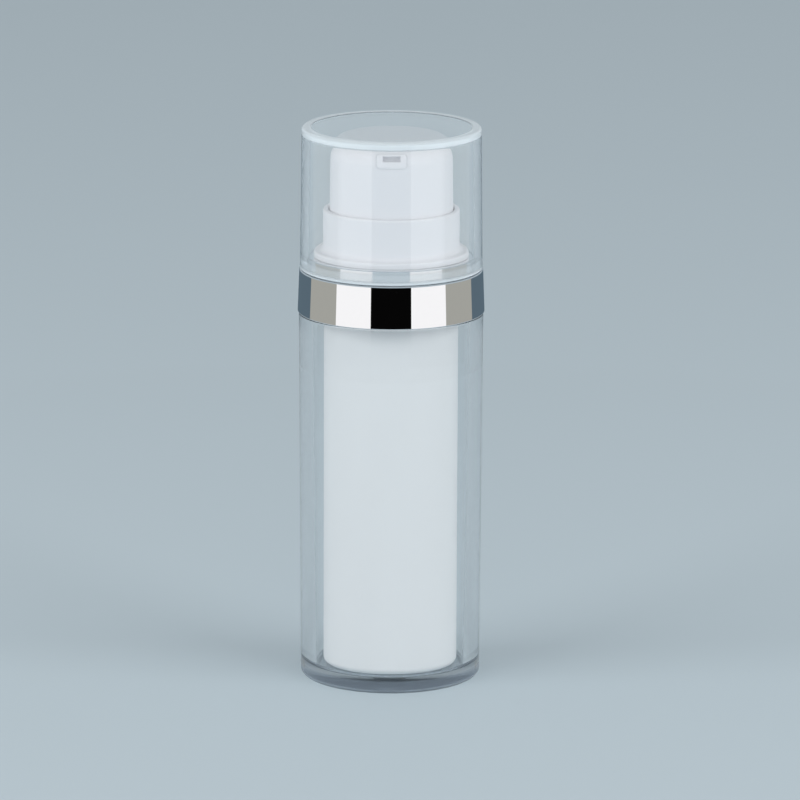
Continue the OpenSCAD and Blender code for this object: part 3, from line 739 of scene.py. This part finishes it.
class BOTTLE_OT_button(bpy.types.Operator):
    """Model the push button with its pocket, and the nozzle insert in it"""
    bl_idname = "bottle.button"
    bl_label = "Button and nozzle"

    def execute(self, context):
        size = context.scene.pump_sizes
        self.foot = (BUTTON_HIGH.x, BUTTON_LOW.z)
        self.top = (BUTTON_HIGH.x - size.button_draft, BUTTON_HIGH.z)
        self.button(size)
        self.insert(size)
        return {"FINISHED"}

    def button(self, size):
        """The button, with the stem's socket, the spring's seat, the duct and the pocket."""
        wall, roof = size.button_wall, BUTTON_HIGH.z - size.roof
        socket, duct = size.stem_socket, size.duct / 2
        boss, seat = socket + size.boss_wall, socket + size.seat_width
        socket_foot, seat_foot = BUTTON_LOW.z + size.socket_foot, BUTTON_LOW.z + size.seat_foot
        stem_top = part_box("stem")[1].z
        duct_top = stem_top + size.duct_rise
        obj = made("push_button", turned([
            self.foot, (*self.top, size.button_round), (0, self.top[1]), (0, duct_top),
            (duct, duct_top), (duct, stem_top), (socket, stem_top), (socket, socket_foot),
            (boss, socket_foot), (boss, seat_foot), (seat, seat_foot), (seat, roof),
            (self.top[0] - wall, roof, size.button_round - wall),
            (self.foot[0] - wall, self.foot[1])]))
        cut(obj, self.pocket(size))
        shaded(obj, "white_plastic")
        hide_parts("actuator")
        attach(obj, "pump_head")

    def face_of_insert(self, gap=0):
        """Width, height and centre height of the insert's outline, grown by a gap all round."""
        width = INSERT_HIGH.x - INSERT_LOW.x + 2 * gap
        height = INSERT_HIGH.z - INSERT_LOW.z + 2 * gap
        return width, height, (INSERT_HIGH.z + INSERT_LOW.z) / 2

    def pocket(self, size):
        """The rounded bar that leaves the insert's pocket in the button."""
        front, back = -BUTTON_HIGH.x - 1 * MM, INSERT_HIGH.y + size.fit_gap
        bm = bmesh.new()
        corners = rectangle(bm, *self.face_of_insert(size.fit_gap), front)
        rounded(bm, corners, size.insert_round + size.fit_gap, ROUND_STEPS)
        grown = bmesh.ops.extrude_face_region(bm, geom=bm.faces[:])["geom"]
        bmesh.ops.translate(bm, verts=only(bmesh.types.BMVert, grown), vec=(0, back - front, 0))
        bmesh.ops.recalc_face_normals(bm, faces=bm.faces)
        return bm

    def skin(self, x, z, stand):
        """How far forward the button's outside lies at x and z, with a stand-off."""
        size = bpy.context.scene.pump_sizes
        rounding = size.button_round
        start = self.top[1] - rounding
        if z > start:
            radius = self.top[0] - rounding + sqrt((rounding + stand) ** 2 - (z - start) ** 2)
        else:
            radius = at_height(self.foot, (self.top[0], start), z) + stand
        return -sqrt(radius ** 2 - x ** 2)

    def outline(self, bm, width, height, middle, rounding):
        """Adds a rounded rectangle's edges, evenly divided, in the plane y = 0."""
        rounded(bm, rectangle(bm, width, height, middle), rounding, OUTLINE_STEPS)
        bmesh.ops.delete(bm, geom=bm.faces[:], context="FACES_ONLY")
        sides = sorted(bm.edges, key=lambda e: e.calc_length())[-4:]
        bmesh.ops.subdivide_edges(bm, edges=sides[2:], cuts=LONG_CUTS)
        bmesh.ops.subdivide_edges(bm, edges=sides[:2], cuts=SHORT_CUTS)

    def insert(self, size):
        """A flat face with its slot, bent onto the button, with a back and a slot floor."""
        width, height, middle = self.face_of_insert()
        slot = middle + size.slot_rise
        bm = bmesh.new()
        self.outline(bm, width, height, middle, size.insert_round)
        self.outline(bm, size.slot_width, size.slot_height, slot, FINE_EDGE)
        bmesh.ops.bridge_loops(bm, edges=bm.edges[:])
        between = [e for e in bm.edges if not e.is_boundary]
        bmesh.ops.subdivide_edges(bm, edges=between, cuts=FACE_CUTS)
        rims = [e for e in bm.edges if e.is_boundary]
        outer = [e for e in rims if self.outside_slot(e, slot, size)]
        inner = [e for e in rims if e not in outer]
        for loop in (outer, inner):
            grown = bmesh.ops.extrude_edge_only(bm, edges=loop)["geom"]
            bmesh.ops.translate(bm, verts=only(bmesh.types.BMVert, grown), vec=(0, BEHIND, 0))
            bmesh.ops.contextual_create(bm, geom=only(bmesh.types.BMEdge, grown))
        bmesh.ops.bevel(bm, geom=outer + inner, offset=size.insert_edge, offset_type="OFFSET",
                        segments=EDGE_STEPS, profile=0.5, affect="EDGES", clamp_overlap=True,
                        material=-1)
        floor = size.slot_depth - self.foot[0]
        half, tall = size.slot_width / 2 + MERGE, size.slot_height / 2 + MERGE
        for vert in bm.verts:
            x, depth, z = vert.co
            if depth < BEHIND:
                vert.co.y = self.skin(x, z, size.insert_stand) + depth
            else:
                in_slot = abs(x) <= half and abs(z - slot) <= tall
                vert.co.y = floor if in_slot else INSERT_HIGH.y
        bmesh.ops.recalc_face_normals(bm, faces=bm.faces)
        obj = made("nozzle", bm)
        shaded(obj, "white_plastic")
        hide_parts("nozzle_insert")
        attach(obj, "pump_head")

    def outside_slot(self, edge, middle, size):
        """Whether an edge lies clear of the slot's outline."""
        half, tall = (size.slot_width + FINE_EDGE) / 2, (size.slot_height + FINE_EDGE) / 2
        return any(abs(v.co.x) > half or abs(v.co.z - middle) > tall for v in edge.verts)


class BOTTLE_OT_spring(bpy.types.Operator):
    """Wind the return spring from round wire, with its end turns closed"""
    bl_idname = "bottle.spring"
    bl_label = "Spring"

    def execute(self, context):
        size = context.scene.pump_sizes
        wire = size.wire
        radius = SPRING_HIGH.x - wire / 2
        low, high = SPRING_LOW.z + wire / 2, SPRING_HIGH.z - wire / 2
        pitch, open_turns = wire + CLOSED_GAP, TURNS - 2 * END_TURNS
        climb = (high - low - 2 * END_TURNS * pitch) / open_turns
        bm = bmesh.new()
        bmesh.ops.create_circle(bm, segments=WIRE_SIDES, radius=wire / 2)
        upright = Matrix.Rotation(pi / 2, 3, "X")
        bmesh.ops.rotate(bm, verts=bm.verts, cent=(0, 0, 0), matrix=upright)
        bmesh.ops.translate(bm, verts=bm.verts, vec=(radius, 0, low))
        end = bm.verts[:] + bm.edges[:]
        first = bm.edges[:]
        for turns, rise in ((END_TURNS, pitch), (open_turns, climb), (END_TURNS, pitch)):
            steps = round(turns * TURN_STEPS)
            end = bmesh.ops.spin(bm, geom=end, cent=(0, 0, 0), axis=(0, 0, 1),
                                 dvec=(0, 0, turns * rise / steps), angle=turns * 2 * pi,
                                 steps=steps)["geom_last"]
        bmesh.ops.contextual_create(bm, geom=first)
        bmesh.ops.contextual_create(bm, geom=only(bmesh.types.BMEdge, end))
        bmesh.ops.recalc_face_normals(bm, faces=bm.faces)
        obj = made("spring", bm)
        shaded(obj, "spring_steel")
        obj.modifiers.clear()
        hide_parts("return_spring")
        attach(obj, "bottle")
        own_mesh(obj)
        return {"FINISHED"}


class BOTTLE_OT_overcap(bpy.types.Operator):
    """Model the clear overcap"""
    bl_idname = "bottle.overcap"
    bl_label = "Overcap"

    def execute(self, context):
        size = context.scene.cap_sizes
        rim, top = (CAP_HIGH.x, CAP_LOW.z), (CAP_HIGH.x - size.draft, CAP_HIGH.z)
        socket = CAP_HIGH.x - size.rim_wall
        step = CAP_LOW.z + size.rim_depth
        roof = CAP_HIGH.z - size.roof
        obj = made("cap", turned([
            (socket, rim[1], EDGE), (*rim, size.rim_round), (*top, size.top_round), (0, top[1]),
            (0, roof), (at_height(rim, top, roof) - size.wall, roof, size.roof_round),
            (at_height(rim, top, step) - size.wall, step), (socket, step, FINE_EDGE)]))
        shaded(obj, "clear_cap")
        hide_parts("overcap")
        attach(obj, "cap")
        return {"FINISHED"}


class BOTTLE_OT_inside(bpy.types.Operator):
    """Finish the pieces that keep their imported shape"""
    bl_idname = "bottle.inside"
    bl_label = "Inside pieces"

    def execute(self, context):
        kept = {part["node"]: part["material_slot"] for part in frame["record"]["subparts"]}
        for name, obj in frame["nodes"].items():
            if not obj.hide_render:
                obj.data.materials.clear()
                obj.data.materials.append(finish_of(kept[name]))
        return {"FINISHED"}


class BOTTLE_PT_panel(bpy.types.Panel):
    """The bottle's operators and sizes"""
    bl_idname = "BOTTLE_PT_panel"
    bl_label = "Airless Pump Bottle"
    bl_space_type = "VIEW_3D"
    bl_region_type = "UI"
    bl_category = "Bottle"

    def draw(self, context):
        for operator in OPERATORS:
            self.layout.operator(operator.bl_idname)
        for name in GROUPS:
            group = getattr(context.scene, name)
            box = self.layout.box()
            for key in group.__annotations__:
                box.prop(group, key)


GROUPS = {"bottle_sizes": BottleSizes, "pump_sizes": PumpSizes, "cap_sizes": CapSizes,
          "bottle_finishes": Finishes, "bottle_studio": Studio}
OPERATORS = (BOTTLE_OT_stage, BOTTLE_OT_bottles, BOTTLE_OT_collar, BOTTLE_OT_button,
             BOTTLE_OT_spring, BOTTLE_OT_overcap, BOTTLE_OT_inside)


def register():
    for cls in (*GROUPS.values(), *OPERATORS, BOTTLE_PT_panel):
        bpy.utils.register_class(cls)
    for name, group in GROUPS.items():
        setattr(bpy.types.Scene, name, PointerProperty(type=group))


def unregister():
    for name in GROUPS:
        delattr(bpy.types.Scene, name)
    for cls in (BOTTLE_PT_panel, *reversed(OPERATORS), *reversed(GROUPS.values())):
        bpy.utils.unregister_class(cls)


def main():
    register()
    for operator in OPERATORS:
        getattr(bpy.ops.bottle, operator.bl_idname.split(".")[1])()


if __name__ == "__main__":
    main()
